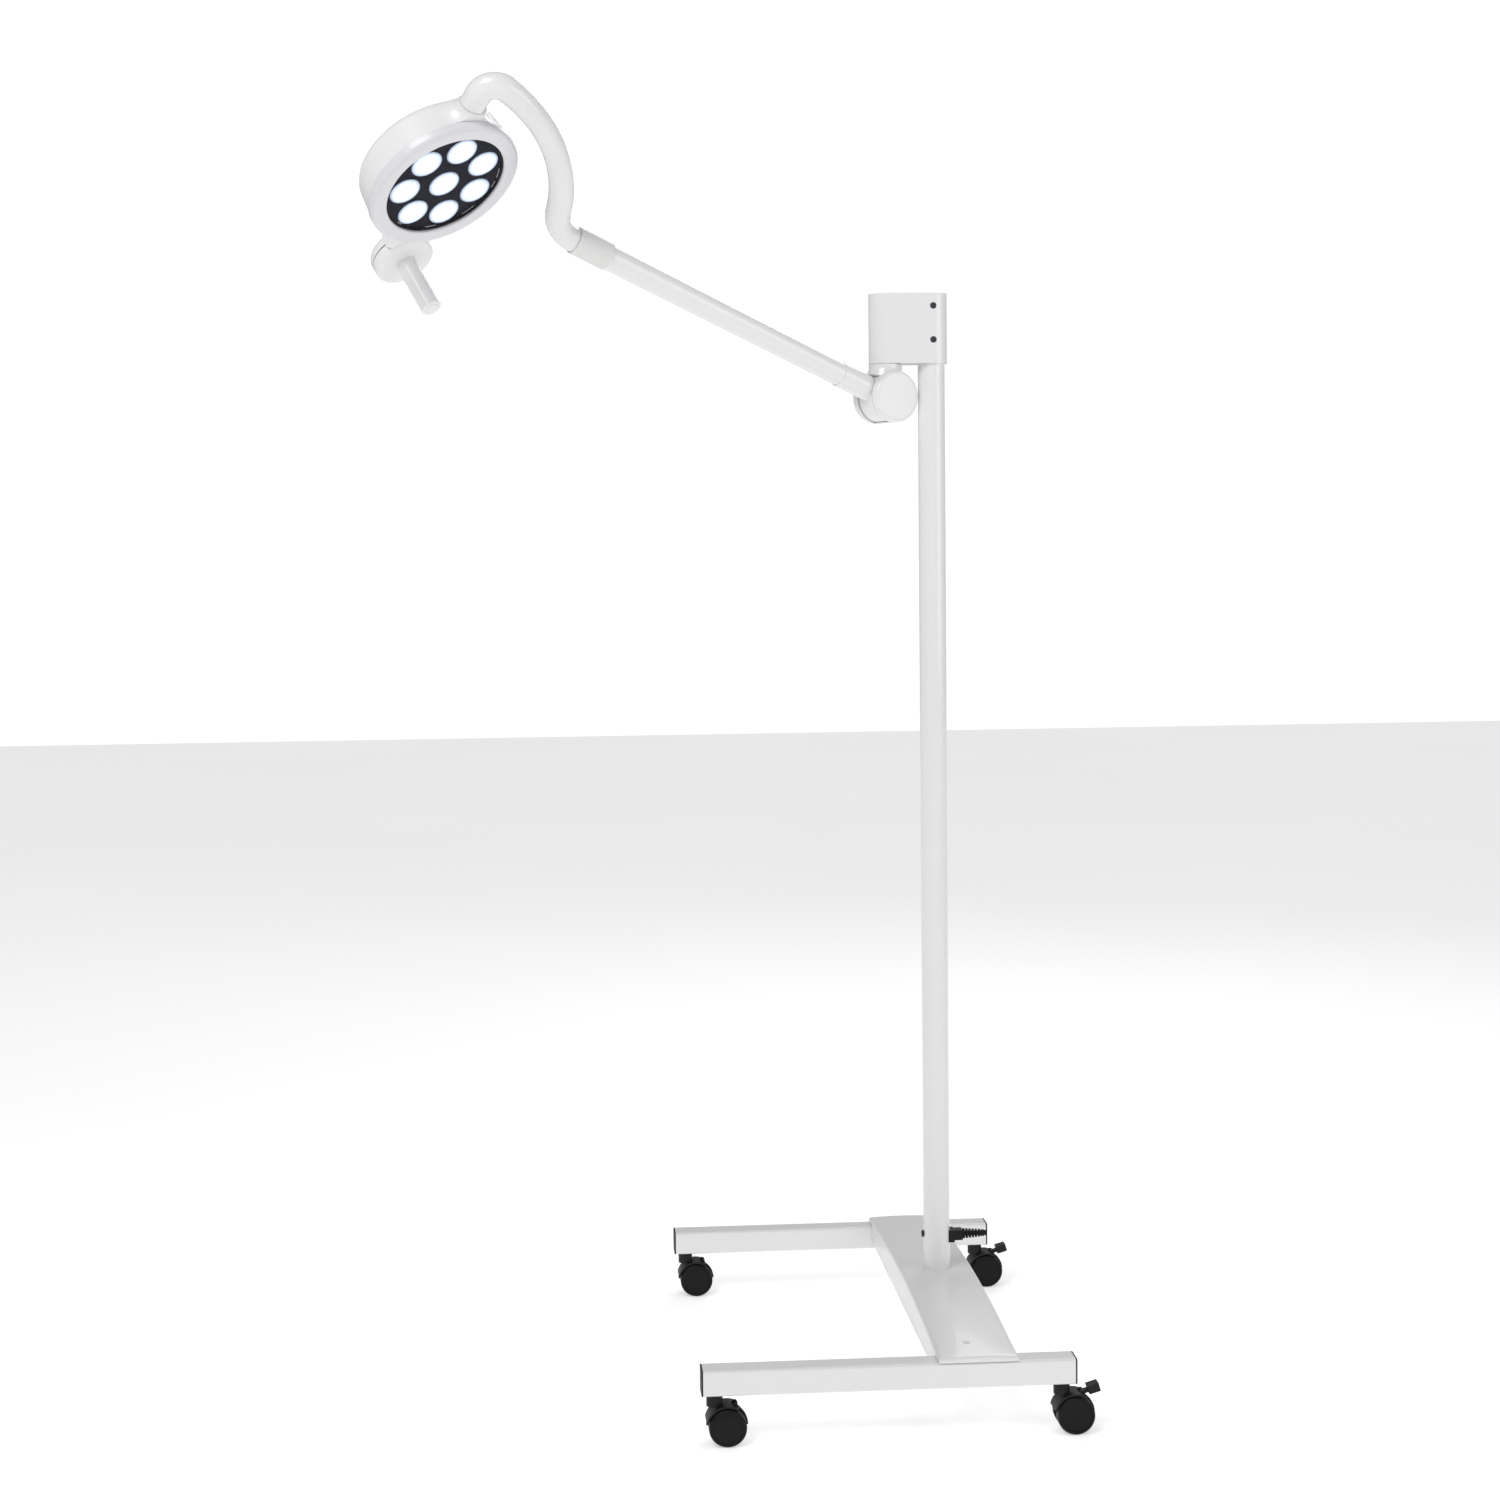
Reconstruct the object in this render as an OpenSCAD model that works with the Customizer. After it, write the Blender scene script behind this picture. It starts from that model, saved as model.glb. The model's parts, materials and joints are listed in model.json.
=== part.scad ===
// Mobile surgical examination light: two-leg base on four casters, pole, swinging arm,
// swan-neck tube and a round lamp head with a handle pod.
// Frame: origin on the floor under the pole, +X along the legs away from the arm,
// +Y across the base, +Z up. Millimetres.

/* [Base] */
// Height of the underside of the legs above the floor
leg_lift = 78; // [70:1:90]
// Width and height of the square leg tube
leg_size = 40; // [36:1:44]
// Wall of the leg tube
leg_wall = 2; // [1.5:0.5:3]
// Corner radius of the leg tube
leg_corner = 4; // [3:1:6]
// Reach of the legs from the pole towards the arm side
leg_reach = 421; // [380:1:460]
// Reach of the legs from the pole away from the arm
leg_tail = 149; // [140:1:170]
// Distance between the two legs, centre to centre
leg_spacing = 740; // [640:10:800]
// Width of the base cover along the legs
cover_w = 124; // [116:1:132]
// Height of the base cover over the floor at its middle
cover_top = 148; // [142:1:154]
// Height of the base cover over the floor at its two ends
cover_end_top = 127; // [124:1:132]

/* [Pole] */
// Outer diameter of the pole
pole_d = 44; // [40:1:46]
// Wall of the pole
pole_wall = 2.5; // [1.5:0.5:4]
// Height of the top of the bracket above the floor
bracket_top = 1772; // [1500:1:1900]
// Height of the bracket
bracket_h = 114; // [100:1:130]
// Distance from the pole to the vertical pivot of the arm
pivot_reach = 76; // [76:1:90]

/* [Arm] */
// Turn of the arm about the vertical pivot, from straight away from the pole
arm_turn = 28; // [-60:1:60]
// Rise of the arm above level
arm_rise = 21; // [-40:1:21]
// Length from the elbow to the near end of the collar
arm_length = 559; // [400:1:700]
// Outer diameter of the arm and of the swan-neck tube
tube_d = 38; // [36:1:39]
// Drop of the elbow pin below the bracket
elbow_drop = 54; // [52:1:60]
// Turn of the swan-neck about the arm
neck_roll = -53.5; // [-150:0.5:150]
// Radius and angle of the swan-neck's first bend
bend_a = [57.5, 67];
// Radius and angle of the swan-neck's long bend
bend_b = [237.5, 58.7];
// Radius and angle of the swan-neck's hook
bend_c = [26, 106.8];

/* [Lamp] */
// Turn of the lamp head about the end of the swan-neck
head_turn = 62.7; // [0:0.1:180]
// Outer radius of the front rim
rim_r = 118; // [112:1:124]
// Outer radius of the back of the lamp housing
back_r = 113; // [108:1:117]
// Radius of the clear window
window_r = 94; // [90:1:98]
// Radius of the ring of seven lenses
lens_ring_r = 64; // [62:0.5:66]
// Diameter of each lens
lens_d = 48; // [44:1:51]
// Distance from the lamp centre to the handle
handle_reach = 194; // [185:1:210]
// Turn of the handle pod from straight opposite the swan-neck
pod_turn = 10; // [-15:1:15]
// Outer diameter of the handle
handle_d = 31; // [28:1:34]

/* [Casters] */
// Diameter of the caster wheels
wheel_d = 58; // [50:1:60]
// Distance of the caster stems from the ends of the legs
stem_inset = 18; // [17:1:24]
// Trail of the wheels behind the caster stems
trail = 19; // [15:1:22]

/* [Hidden] */
$fn = 64;
e = 0.01;
leg_y = leg_spacing / 2;
leg_top = leg_lift + leg_size;
leg_len = leg_reach + leg_tail;
leg_mid = (leg_tail - leg_reach) / 2;
pole_r = pole_d / 2;
bracket_z = bracket_top - bracket_h;
bracket_r = 26;
elbow_z = bracket_z - elbow_drop;
tube_r = tube_d / 2;
drum_r = 42;
drum_half = 36;
collar_len = 61;
neck_straight = 19;
seam = 0.02;
lead_z = 202;
wheel_r = wheel_d / 2;
screw_x = -10;
stem_x = [-leg_reach + stem_inset, leg_tail - stem_inset];

// ---------- shared shapes ----------

module round_rect(w, h, r) {
    square([w - 2 * r, h], center = true);
    square([w, h - 2 * r], center = true);
    for (sx = [-1, 1], sy = [-1, 1])
        translate([sx * (w / 2 - r), sy * (h / 2 - r)]) circle(r);
}

// Stadium outline with end centres at x0 and x1
module stadium(x0, x1, r) {
    translate([x0, -r]) square([x1 - x0, 2 * r]);
    translate([x0, 0]) circle(r);
    translate([x1, 0]) circle(r);
}

module rod(r, h, z = 0) {
    translate([0, 0, z]) cylinder(r = r, h = h);
}

module pipe(r, bore, h, z = 0) {
    translate([0, 0, z]) difference() {
        cylinder(r = r, h = h);
        translate([0, 0, -1]) cylinder(r = bore, h = h + 2);
    }
}

// Rod along Y, centred on the XZ plane
module cross_rod(r, w) {
    rotate([90, 0, 0]) cylinder(r = r, h = w, center = true);
}

// Rod along X from x0 to x1
module long_rod(r, x0, x1) {
    translate([x0, 0, 0]) rotate([0, 90, 0]) cylinder(r = r, h = x1 - x0);
}

module long_pipe(r, bore, x0, x1) {
    difference() {
        long_rod(r, x0, x1);
        long_rod(bore, x0 - 1, x1 + 1);
    }
}

// Square tube along X
module leg_tube() {
    translate([leg_mid, 0, leg_lift + leg_size / 2])
        rotate([0, 90, 0])
            linear_extrude(leg_len, center = true) difference() {
                round_rect(leg_size, leg_size, leg_corner);
                round_rect(leg_size - 2 * leg_wall, leg_size - 2 * leg_wall, leg_corner - leg_wall);
            }
}

// ---------- base ----------

module front_leg() {
    color("white") difference() {
        translate([0, -leg_y, 0]) leg_tube();
        stem_holes(-leg_y);
    }
}

module rear_leg() {
    color("white") difference() {
        translate([0, leg_y, 0]) leg_tube();
        stem_holes(leg_y);
    }
}

module stem_holes(y) {
    for (x = stem_x) translate([x, y, 0]) rod(5.5, 10, leg_lift - 4);
}

module cross_beam() {
    color("white") difference() {
        translate([0, 0, leg_lift + 18])
            rotate([90, 0, 0])
                linear_extrude(leg_spacing - leg_size, center = true) difference() {
                    round_rect(60, 30, 4);
                    round_rect(55, 25, 2);
                }
        rod(pole_r + 3.5, 60, leg_lift - 5);
    }
}

module leg_end_caps() {
    inner = leg_size - 2 * leg_wall;
    color("black")
        for (y = [-leg_y, leg_y], s = [-1, 1])
            translate([s > 0 ? leg_tail : -leg_reach, y, leg_lift + leg_size / 2])
                rotate([0, s * 90, 0]) {
                    linear_extrude(2.5) round_rect(leg_size, leg_size, leg_corner);
                    translate([0, 0, -11]) linear_extrude(11 + e)
                        round_rect(inner - 0.2, inner - 0.2, 1.8);
                }
}

// Radius of the arch that rises from the cover's ends to its middle
cover_half = leg_y + leg_size / 2 + 2;
cover_rise = cover_top - cover_end_top;
arch_r = (pow(cover_half, 2) + pow(cover_rise, 2)) / (2 * cover_rise);

// Side view of the cover: flat below, arched above, lifted by shrink on the inside
module cover_side(shrink) {
    half = cover_half - shrink;
    intersection() {
        translate([-half, 60]) square([2 * half, 140]);
        translate([0, cover_top - arch_r - shrink]) circle(arch_r, $fn = 360);
    }
}

module cover_body(shrink, low) {
    half_w = cover_w / 2 - shrink;
    translate([0, 0, 0]) intersection() {
        rotate([90, 0, 90]) linear_extrude(2 * half_w, center = true) cover_side(shrink);
        translate([-half_w, -500, low]) cube([2 * half_w, 1000, 200]);
        rotate([90, 0, 0]) translate([0, 0, -500])
            linear_extrude(1000) union() {
                translate([-half_w, 0]) square([2 * half_w, cover_end_top - 6]);
                intersection() {
                    translate([-half_w, 100]) square([2 * half_w, 100]);
                    translate([0, cover_top + 2 - 520 - shrink]) circle(520, $fn = 360);
                }
            }
    }
}

module base_cover() {
    color("white") difference() {
        cover_body(0, 92);
        difference() {
            cover_body(3, 60);
            for (s = [-1, 1])
                translate([-100, s > 0 ? leg_y - leg_size / 2 : -500, leg_top])
                    cube([200, 500 - leg_y + leg_size / 2, 60]);
        }
        for (s = [-1, 1])
            translate([-100, s * (leg_y + 6) - leg_size / 2 - 6.1, 60])
                cube([200, leg_size + 12.2, leg_top - 60 + 0.3]);
        rod(pole_r + 1, 60, 120);
        for (s = [-1, 1]) translate([screw_x, s * 338, 0]) rod(5.6, 60, 100);
    }
}

module cover_screws() {
    color("white") for (s = [-1, 1]) translate([screw_x, s * 338, 0])
        rod(5.5, 22, leg_lift + 33);
}

module pole_socket() {
    color("silver") {
        pipe(pole_r + 3.4, pole_r, 26, leg_lift + 6);
        rod(pole_r + 3.4, 5, leg_lift + 1);
        difference() {
            translate([-28, -36, leg_lift - 3]) cube([56, 72, 6]);
            rod(12, 12, leg_lift - 5);
        }
    }
}

module pole_tube() {
    color("white") difference() {
        pipe(pole_r, pole_r - pole_wall, bracket_top - 8 - leg_lift - 6, leg_lift + 6);
        translate([-40, 0, 206]) long_rod(2.5, 0, 30);
        translate([10, 0, lead_z]) long_rod(6.8, 0, 30);
    }
}

module pole_screws() {
    color("black") translate([-pole_r, 0, 206]) {
        long_rod(2.45, -1, 5);
        difference() {
            long_rod(5.5, -3.2, -0.1);
            long_rod(1.8, -4, -1.6);
        }
    }
}

module power_supply() {
    color("dimgray") translate([-24, 120, leg_lift + 33]) difference() {
        cube([48, 150, 15]);
        for (x = [4, 44], y = [4, 146]) translate([x, y, 4]) cylinder(r = 1.5, h = 20);
    }
}

// Appliance socket screwed into the pole, on the side away from the arm
module power_socket() {
    color("black") {
        translate([0, 0, lead_z]) long_rod(6.75, pole_r - 5, pole_r + 3);
        difference() {
            translate([pole_r - 4, -12, lead_z - 9.5]) cube([11, 24, 20]);
            rod(pole_r, 60, lead_z - 30);
        }
        translate([pole_r + 7, -9, lead_z - 7]) cube([14, 18, 17]);
    }
}

// Ribbed strain relief with a smooth sleeve at its end
module strain_relief() {
    relief_x = pole_r + 21;
    color("black") translate([0, 0, lead_z + 2]) {
        long_rod(3.8, relief_x, relief_x + 36);
        for (i = [0:5]) long_rod(8.6 - 0.4 * i, relief_x + 1.6 + 5.2 * i, relief_x + 4.2 + 5.2 * i);
        long_rod(5.6, relief_x + 32, relief_x + 37);
        long_rod(4.4, relief_x + 37, relief_x + 41);
    }
}

// ---------- bracket ----------

module bracket_housing() {
    color("white") difference() {
        translate([0, 0, bracket_z]) linear_extrude(bracket_h - 3)
            stadium(-pivot_reach - 1, 0, bracket_r);
        rod(pole_r, 200, bracket_z - 1);
        translate([-pivot_reach, 0, 0]) rod(17, 200, bracket_z - 1);
        translate([-pivot_reach + 21, -21.5, bracket_z + 4])
            cube([28, 43, bracket_h]);
        for (z = [38, 93])
            translate([0, -bracket_r, bracket_z + z]) rotate([90, 0, 0])
                cylinder(r = 5.4, h = 20, center = true);
    }
}

module bracket_cap() {
    color("white") {
        translate([0, 0, bracket_top - 3]) linear_extrude(3)
            stadium(-pivot_reach - 1, 0, bracket_r);
        rod(pole_r - pole_wall - 0.5, 10, bracket_top - 13);
    }
}

module bracket_screws() {
    color("dimgray") for (z = [38, 93])
        translate([0, -bracket_r, bracket_z + z]) rotate([90, 0, 0])
            difference() {
                translate([0, 0, -3.9]) cylinder(r = 5.4, h = 3.4);
                translate([0, 0, -2.6]) cylinder(r = 2.8, h = 4, $fn = 6);
            }
}

module spindle_bushes() {
    color("tan") translate([-pivot_reach, 0, 0])
        for (z = [bracket_z, bracket_z + bracket_h - 34])
            pipe(17, 12.04, 24, z);
}

// ---------- casters ----------

module caster_stems() {
    color("silver")
        for (x = stem_x, y = [-leg_y, leg_y]) translate([x, y, 0]) {
            rod(5.4, 36, leg_lift - 20);
            rod(9, 2.8, leg_lift - 2.8);
        }
}

// Children placed on a caster: swivel axis on local Z, wheels trailing along +X
module at_caster(x, y) {
    translate([x, y, 0]) children();
}

module hood() {
    color("black") difference() {
        union() {
            translate([trail, 0, wheel_r]) cross_rod(wheel_r - 5, 7);
            translate([trail, 0, wheel_r]) difference() {
                union() {
                    cross_rod(wheel_r + 4.5, 38);
                    translate([12, 0, 31]) cross_rod(4, 20);
                }
                cross_rod(wheel_r + 1.5, 40);
                translate([-60, -30, -60]) cube([120, 60, 68]);
                translate([17, -30, -60]) cube([60, 60, 120]);
            }
            translate([trail, 0, wheel_r]) difference() {
                cross_rod(wheel_r + 3, 7);
                translate([-60, -30, -60]) cube([120, 60, 60]);
            }
            rod(12.5, 16, 59);
        }
        rod(5.45, 40, 57);
        translate([trail, 0, wheel_r]) {
            cross_rod(3.04, 60);
            translate([12, 0, 31]) cross_rod(1.55, 19);
            translate([6.6, -6.4, 25]) cube([40, 12.8, 40]);
        }
    }
}

module axle() {
    color("silver") translate([trail, 0, wheel_r]) cross_rod(3, 44);
}

module wheels() {
    color("black") for (s = [-1, 1])
        translate([trail, s * 14.2, wheel_r]) difference() {
            cross_rod(wheel_r, 17);
            cross_rod(3, 30);
            translate([0, -s * 8, 0]) cross_rod(wheel_r - 6, 12);
        }
}

// Pedal that presses on the wheels; its pivot pin is part of it
module brake_lever() {
    color("black") translate([trail + 12, 0, wheel_r + 31]) {
        cross_rod(1.5, 18.6);
        cross_rod(3, 11);
        rotate([0, -16, 0]) {
            translate([0, -5, -2.5]) cube([14, 10, 5]);
            translate([10, -9, -5]) cube([18, 18, 13]);
        }
    }
}

module front_left_hood() { at_caster(stem_x[0], -leg_y) hood(); }
module front_right_hood() { at_caster(stem_x[1], -leg_y) hood(); }
module rear_left_hood() { at_caster(stem_x[0], leg_y) hood(); }
module rear_right_hood() { at_caster(stem_x[1], leg_y) hood(); }
module front_left_axle() { at_caster(stem_x[0], -leg_y) axle(); }
module front_right_axle() { at_caster(stem_x[1], -leg_y) axle(); }
module rear_left_axle() { at_caster(stem_x[0], leg_y) axle(); }
module rear_right_axle() { at_caster(stem_x[1], leg_y) axle(); }
module front_left_wheels() { at_caster(stem_x[0], -leg_y) wheels(); }
module front_right_wheels() { at_caster(stem_x[1], -leg_y) wheels(); }
module rear_left_wheels() { at_caster(stem_x[0], leg_y) wheels(); }
module rear_right_wheels() { at_caster(stem_x[1], leg_y) wheels(); }
module front_brake_lever() { at_caster(stem_x[1], -leg_y) brake_lever(); }
module rear_brake_lever() { at_caster(stem_x[1], leg_y) brake_lever(); }

// ---------- elbow ----------

// Elbow frame: local X towards the arm, local Y along the elbow pin, towards the front
module at_elbow() {
    translate([-pivot_reach, 0, elbow_z]) rotate([0, 0, 180 + arm_turn]) children();
}

module at_arm() {
    at_elbow() rotate([0, -arm_rise, 0]) children();
}

module pivot_spindle() {
    color("silver") at_elbow() difference() {
        union() {
            rod(20, 8.8, drum_r - 0.8);
            rod(12, elbow_drop + bracket_h - 4 - drum_r, drum_r);
            rod(15, 3, elbow_drop + bracket_h - 9.7);
        }
        rod(6, 220, -10);
    }
}

// Side view of the room the arm root sweeps through, from the upper to the lower stop
module sweep_side() {
    up = 24;
    down = -50;
    reach = 80;
    gap = 21;
    polygon([
        gap * [-sin(up), cos(up)], gap * [-sin(up), cos(up)] + reach * [cos(up), sin(up)],
        [reach + 10, 0], gap * [sin(down), -cos(down)] + reach * [cos(down), sin(down)],
        gap * [sin(down), -cos(down)]
    ]);
}

module elbow_housing() {
    color("white") at_elbow() difference() {
        union() {
            cross_rod(drum_r, 2 * drum_half - 12);
            rod(27, elbow_drop - 0.6, 0);
            translate([0, 0, 26]) cylinder(r1 = 35, r2 = 27, h = 20);
        }
        cross_rod(drum_r - 1.4, 42);
        cross_rod(9, 90);
        for (s = [-1, 1]) translate([0, s * (drum_half + 2), 0]) cross_rod(drum_r + 0.3, 16);
        rotate([90, 0, 0]) linear_extrude(42, center = true) sweep_side();
        rod(20, 20, 30);
        rod(12, 60, 16);
    }
}

// Disc that closes the drum, with a bevelled outer edge
module drum_cap() {
    cylinder(r = drum_r, h = 3);
    translate([0, 0, 3 - e]) cylinder(r1 = drum_r, r2 = drum_r - 3, h = 3 + e);
}

module elbow_front_cap() {
    color("white") at_elbow() translate([0, drum_half - 6, 0]) rotate([-90, 0, 0]) drum_cap();
}

module elbow_rear_cap() {
    color("white") at_elbow() translate([0, 6 - drum_half, 0]) rotate([90, 0, 0]) drum_cap();
}

module elbow_pin() {
    color("silver") at_elbow() cross_rod(9, 2 * drum_half - 12);
}

module friction_washers() {
    color("tan") at_elbow() for (s = [-1, 1])
        translate([0, s * 19.25, 0]) difference() {
            cross_rod(19.7, 3.3);
            cross_rod(9.4, 10);
        }
}

// Hub that turns on the elbow pin, with the sleeve that holds the arm tube
module arm_root() {
    color("white") at_arm() difference() {
        union() {
            cross_rod(drum_r - 1.8, 35);
            difference() {
                long_rod(20.3, 20, 99);
                long_rod(tube_r, 60, 120);
            }
        }
        cross_rod(9.05, 60);
    }
}

module arm_tube() {
    color("white") at_arm() long_pipe(tube_r, tube_r - 2, 60, arm_length);
}

module arm_collar() {
    color("whitesmoke") at_arm() difference() {
        long_rod(tube_r + 2.2, arm_length, arm_length + collar_len);
        long_rod(13, arm_length - 2, arm_length + 2);
        long_rod(tube_r + 0.35, arm_length + 1.5, arm_length + collar_len + 1);
    }
}

// ---------- swan-neck ----------

// Frame at the far end of the collar: local X along the tube, local Z the side it bends to
module at_neck() {
    at_arm() translate([arm_length, 0, 0]) rotate([neck_roll, 0, 0]) children();
}

// Tube bent from the origin along X towards +Z
module bend(radius, angle) {
    translate([0, 0, radius]) rotate([90, 0, 0]) rotate([0, 0, -90])
        rotate_extrude(angle = angle, $fn = 96) translate([radius, 0]) difference() {
            circle(tube_r);
            circle(tube_r - 2);
        }
}

module after_bend(radius, angle) {
    translate([radius * sin(angle), 0, radius * (1 - cos(angle))])
        rotate([0, -angle, 0]) children();
}

module turned_over() {
    rotate([180, 0, 0]) children();
}

// Frame at the lower end of the hook: local X along the neck axis into the lamp
module at_hook() {
    at_neck() translate([collar_len, 0, 0])
        after_bend(bend_a[0], bend_a[1]) turned_over()
            after_bend(bend_b[0], bend_b[1])
                after_bend(bend_c[0], bend_c[1]) children();
}

module swan_neck() {
    color("white") {
        at_neck() {
            long_pipe(tube_r, 13.05, 1.8, 58);
            long_pipe(tube_r, tube_r - 2, 58, collar_len);
            translate([collar_len, 0, 0]) bend(bend_a[0], bend_a[1]);
        }
        at_neck() translate([collar_len, 0, 0]) after_bend(bend_a[0], bend_a[1])
            turned_over() translate([seam, 0, 0]) bend(bend_b[0], bend_b[1] - 0.01);
        at_neck() translate([collar_len, 0, 0]) after_bend(bend_a[0], bend_a[1])
            turned_over() after_bend(bend_b[0], bend_b[1]) bend(bend_c[0], bend_c[1] - 0.1);
        at_hook() long_pipe(tube_r, tube_r - 2, 0, neck_straight);
    }
}

// Turned spigot in the end of the arm, on which the swan-neck rolls
module roll_spigot() {
    color("silver") at_arm() {
        long_rod(tube_r - 2, arm_length - 50, arm_length - 0.5);
        long_rod(13, arm_length - 1, arm_length + 56);
    }
}

// ---------- lamp head ----------

// Distance along the hook's axis at which it meets the axis of the arm
turn_left = bend_b[1] + bend_c[1] - bend_a[1];
end_angle = 90 - turn_left;
function step_z(radius, from, to) = radius * abs(cos(to) - cos(from));
neck_z = bend_a[0] * (1 - cos(bend_a[1]))
    + bend_b[0] * (cos(bend_a[1] - bend_b[1]) - cos(bend_a[1]))
    + bend_c[0] * (cos(turn_left) - cos(bend_a[1] - bend_b[1]))
    - neck_straight * sin(turn_left);
head_drop = neck_z / sin(turn_left);

// Frame at the lamp centre: +Z the way the light shines, +X away from the swan-neck
module at_head() {
    at_hook() translate([neck_straight + head_drop, 0, 0]) rotate([head_turn, 0, 0]) children();
}

module at_pod() {
    at_head() rotate([0, 0, pod_turn]) translate([handle_reach, 0, 0]) children();
}

module head_spindle() {
    color("silver") at_head() {
        long_rod(10, -head_drop - 12, -head_drop + 16);
        long_rod(tube_r - 2, -head_drop - 14, -head_drop - 1);
    }
}

housing_back = -34;
housing_front = 20;
face_back = 30;
rim_front = 35;

module housing_profile(r, back, front, corner) {
    rotate_extrude($fn = 180) intersection() {
        translate([0, back]) square([r, front - back]);
        union() {
            translate([0, back]) square([r - corner, front - back]);
            translate([0, back + corner]) square([r, front - back]);
            translate([r - corner, back + corner]) circle(corner);
        }
    }
}

module lamp_housing() {
    color("white") at_head() difference() {
        union() {
            housing_profile(back_r, housing_back, housing_front, 14);
            translate([-head_drop + 0.5, 0, 0]) rotate([0, 90, 0])
                cylinder(r1 = tube_r + 0.6, r2 = 30, h = head_drop - 100);
            rotate([0, 0, pod_turn]) translate([100, -30, -26]) cube([60, 60, 30]);
        }
        housing_profile(back_r - 3, housing_back + 3, housing_front + 1, 11);
        rod(rim_r + 0.5, 40, housing_front);
        long_rod(10.05, -head_drop - 5, -90);
    }
}

module lamp_rim() {
    color("white") at_head() rotate_extrude($fn = 180) difference() {
        union() {
            translate([window_r, housing_front])
                square([rim_r - window_r - 6, rim_front - housing_front]);
            translate([window_r, housing_front])
                square([rim_r - window_r, rim_front - housing_front - 6]);
            translate([rim_r - 6, rim_front - 6]) circle(6);
        }
        translate([0, housing_front - 1]) square([back_r - 6, face_back - housing_front + 1]);
    }
}

module window_gasket() {
    color("dimgray") at_head() pipe(window_r + 6, window_r - 3, 3, face_back - 3);
}

module lamp_window() {
    color("lightcyan", 0.4) at_head() rod(window_r - 0.2, 3, face_back);
}

module lens_spots() {
    children();
    for (k = [0:6]) rotate([0, 0, 180 + k * 360 / 7]) translate([lens_ring_r, 0, 0]) children();
}

module lens_plate() {
    color("darkslategray") at_head() difference() {
        rod(window_r + 6, 3, face_back - 6);
        lens_spots() rod(lens_d / 2, 10, face_back - 10);
    }
}

// Collimator cups, one in each opening of the plate
module lenses() {
    color("white") at_head() lens_spots() {
        translate([0, 0, 3.8]) cylinder(r1 = 11, r2 = lens_d / 2 - 2, h = 18.2);
        rod(lens_d / 2, 6, face_back - 8);
    }
}

module led_board() {
    color("darkgreen") at_head() {
        rod(98, 1.6, 0);
        lens_spots() rod(7, 2.2, 1.6);
    }
}

module heat_sink() {
    fin_z = housing_back + 3;
    color("silver") at_head() {
        rod(96, 6, -6);
        for (i = [-4:4])
            translate([i * 19 - 2, -sqrt(pow(90, 2) - pow(i * 19, 2)), fin_z])
                cube([4, 2 * sqrt(pow(90, 2) - pow(i * 19, 2)), -5.5 - fin_z]);
    }
}

pod_r = 47;
pod_back = -30;
pod_split = -9;
pod_front_z = 5;

module pod_rear() {
    color("white") at_pod() difference() {
        housing_profile(pod_r, pod_back, pod_split, 14);
        housing_profile(pod_r - 3, pod_back + 3, pod_split + 1, 11);
        translate([-pod_r - 10, -30, -26]) cube([23, 60, 60]);
    }
}

module pod_front() {
    color("white") at_pod() difference() {
        rod(pod_r, pod_front_z - pod_split, pod_split);
        rod(pod_r - 3, pod_front_z - pod_split - 3, pod_split - 1);
        translate([-pod_r - 10, -30, -30]) cube([23, 60, 34]);
        rod(handle_d / 2 - 6, 20, -2);
    }
}

module driver_board() {
    color("darkgreen") at_pod() translate([-8, -24, pod_back + 8]) {
        cube([44, 48, 1.6]);
        translate([8, 8, 1.5]) cube([14, 14, 8]);
        translate([26, 20, 1.5]) cube([10, 18, 6]);
    }
}

handle_end = 99;
button_r = 10.5;

module handle_grip() {
    color("white") at_pod() {
        difference() {
            rod(handle_d / 2, handle_end - pod_front_z - 1, pod_front_z);
            rod(handle_d / 2 - 2.5, handle_end - pod_front_z - 20, pod_front_z - 1);
            rod(button_r + 0.05, 20, handle_end - 12);
        }
    }
}

module handle_button() {
    color("white") at_pod() {
        rod(button_r, 9, handle_end - 9);
    }
}

front_leg();
rear_leg();
cross_beam();
leg_end_caps();
base_cover();
cover_screws();
pole_socket();
pole_tube();
pole_screws();
power_supply();
power_socket();
strain_relief();
bracket_housing();
bracket_cap();
bracket_screws();
spindle_bushes();
caster_stems();
front_left_hood();
front_right_hood();
rear_left_hood();
rear_right_hood();
front_left_axle();
front_right_axle();
rear_left_axle();
rear_right_axle();
front_left_wheels();
front_right_wheels();
rear_left_wheels();
rear_right_wheels();
front_brake_lever();
rear_brake_lever();
pivot_spindle();
elbow_housing();
elbow_front_cap();
elbow_rear_cap();
elbow_pin();
friction_washers();
arm_root();
arm_tube();
arm_collar();
swan_neck();
roll_spigot();
head_spindle();
lamp_housing();
lamp_rim();
window_gasket();
lamp_window();
lens_plate();
lenses();
led_board();
heat_sink();
pod_rear();
pod_front();
driver_board();
handle_grip();
handle_button();
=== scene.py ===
import json
import math

import bpy
import numpy as np
from mathutils import Matrix, Vector


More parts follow.
